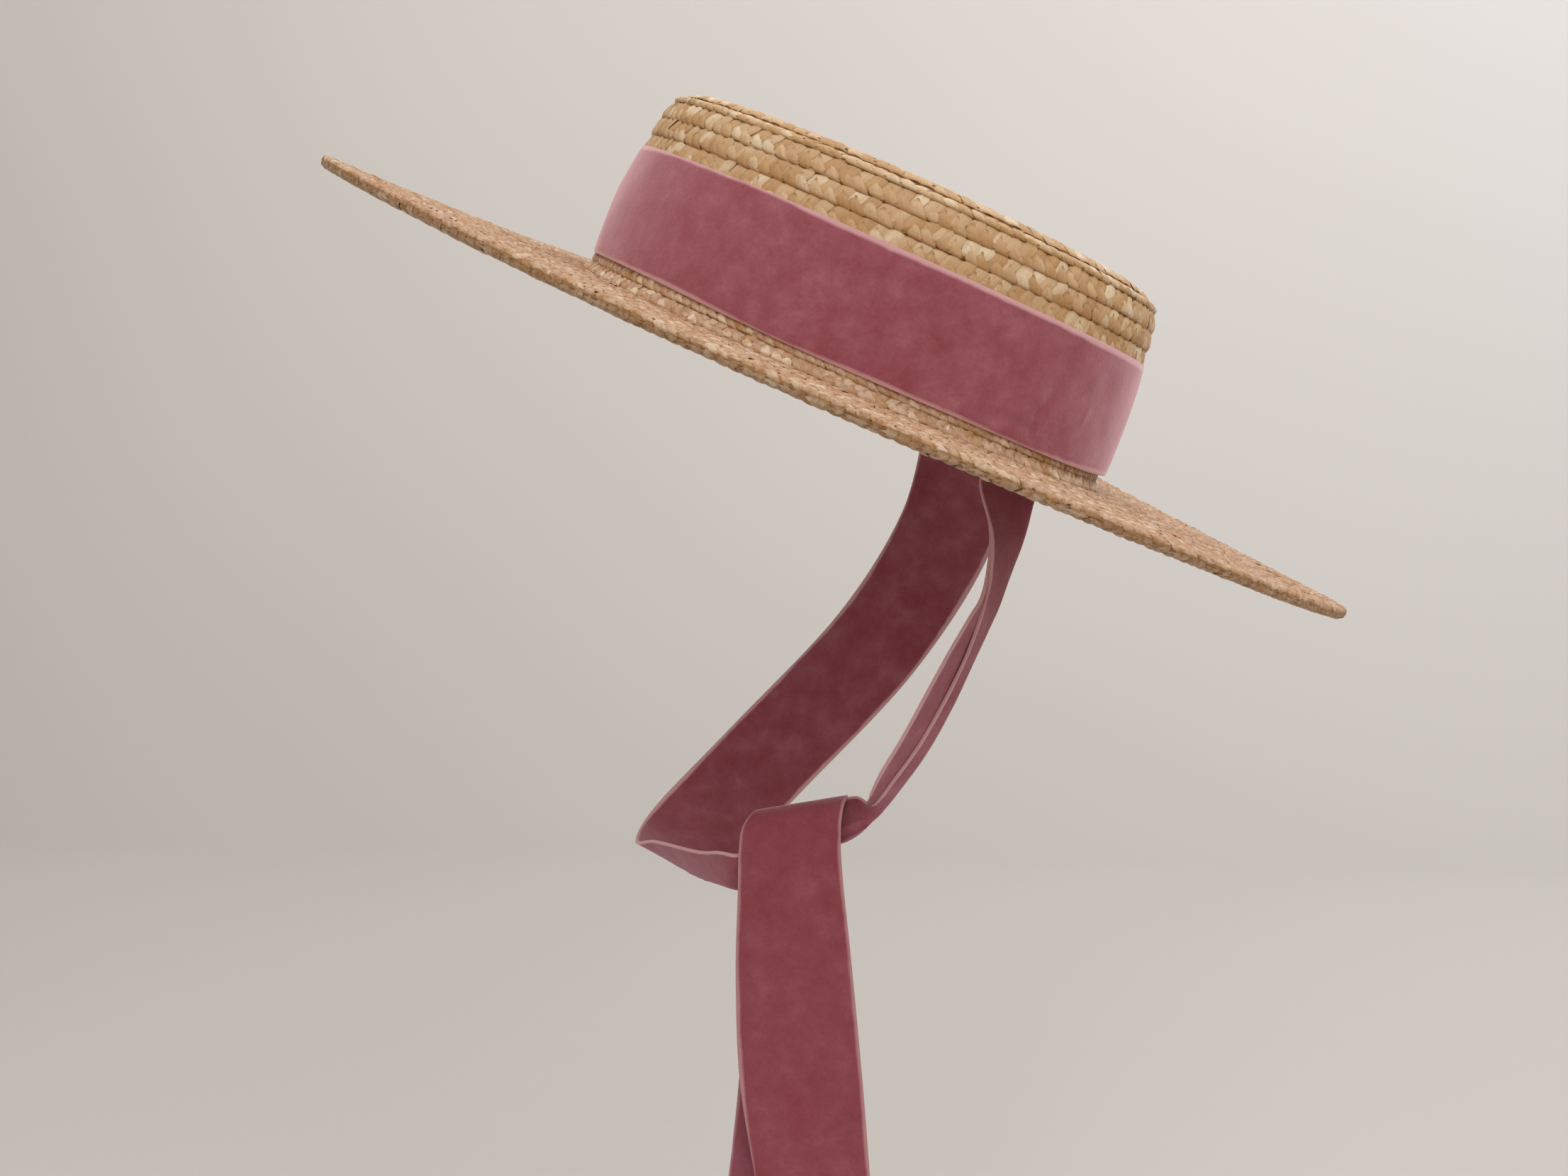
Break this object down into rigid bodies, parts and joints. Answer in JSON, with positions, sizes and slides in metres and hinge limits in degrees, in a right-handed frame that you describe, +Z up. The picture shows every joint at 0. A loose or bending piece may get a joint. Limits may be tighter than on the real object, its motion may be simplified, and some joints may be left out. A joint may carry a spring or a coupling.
{
  "type": "straw boater hat with ribbon band and chin ribbon",
  "caption": "Flat-topped straw boater with a wide flat brim, a velvet ribbon band and a tied velvet chin ribbon with hanging tails.",
  "frame": {"origin": "middle of the head opening, in the plane of the brim", "axes": "+Z up as worn, along which the part is longest; the front of the hat towards -X and its near side, with the knot, towards -Y. The hat leans back by 23.45 degrees about Y."},
  "size_m": [0.3595, 0.354, 0.3947],
  "materials": {
    "crown_straw": "sewn wheat plait",
    "brim_straw": "sewn wheat plait",
    "band_velvet": "cut velvet ribbon",
    "tie_velvet": "cut velvet ribbon"
  },
  "bodies": {
    "root": {"crown": "crown_straw", "brim": "brim_straw", "hat_band": "band_velvet", "near_chin_strap": "tie_velvet", "far_chin_strap": "tie_velvet", "knot": "tie_velvet", "front_tail": "tie_velvet", "back_tail": "tie_velvet"}
  },
  "joints": []
}
